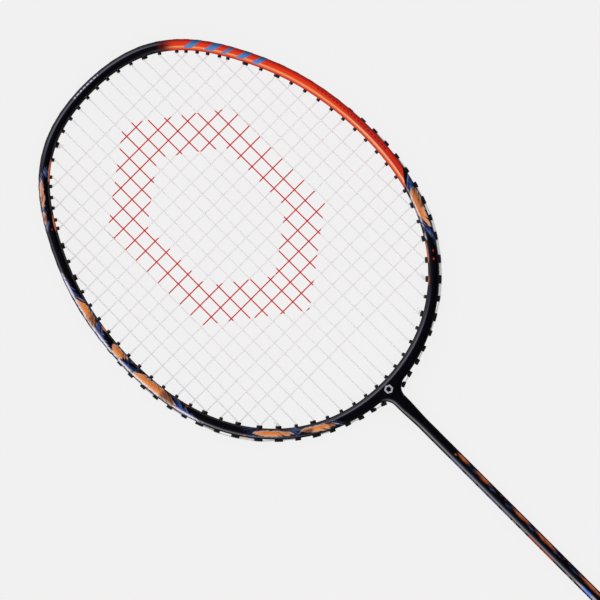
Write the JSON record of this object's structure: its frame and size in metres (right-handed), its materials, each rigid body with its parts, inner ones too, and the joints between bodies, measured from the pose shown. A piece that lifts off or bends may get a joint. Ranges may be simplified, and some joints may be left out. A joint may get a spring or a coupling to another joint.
{
  "type": "badminton racket",
  "caption": "Badminton racket: isometric hollow carbon head strung in two pieces, moulded neck, slim round shaft, tapered cone cap and wrapped eight-sided handle.",
  "frame": {"origin": "middle of the butt cap's flat end face", "axes": "+Y up the shaft to the head's tip, +X across the head, +Z normal to the string bed; the racket lies flat"},
  "size_m": [0.2062, 0.6758, 0.0284],
  "materials": {
    "frame_paint": "gloss lacquer over carbon: black with an orange-red crown and marbled orange and blue patches",
    "shaft_paint": "gloss lacquer over carbon, black with marbled orange patches",
    "carbon_core": "moulded carbon filled resin",
    "bush_plastic": "moulded nylon, black",
    "string_nylon": "braided multifilament, white",
    "cone_plastic": "moulded, satin gloss",
    "handle_wood": "sanded",
    "cap_plastic": "moulded",
    "badge_plastic": "domed lacquer disc",
    "grip_foam": "perforated synthetic grip tape",
    "tape_vinyl": "adhesive vinyl band",
    "staple_steel": "plated wire"
  },
  "bodies": {
    "root": {"head_frame": "frame_paint", "t_joint": "carbon_core", "shaft": "shaft_paint", "crown_grommets": "bush_plastic", "side_grommets": "bush_plastic", "throat_grommets": "bush_plastic", "shared_grommets": "bush_plastic", "tie_off_grommets": "bush_plastic", "main_string": "string_nylon", "cross_string": "string_nylon", "cone_cap": "cone_plastic", "handle_core": "handle_wood", "butt_cap": "cap_plastic", "butt_badge": "badge_plastic", "grip_tape": "grip_foam", "finishing_tape": "tape_vinyl", "grip_staple": "staple_steel"}
  },
  "joints": []
}
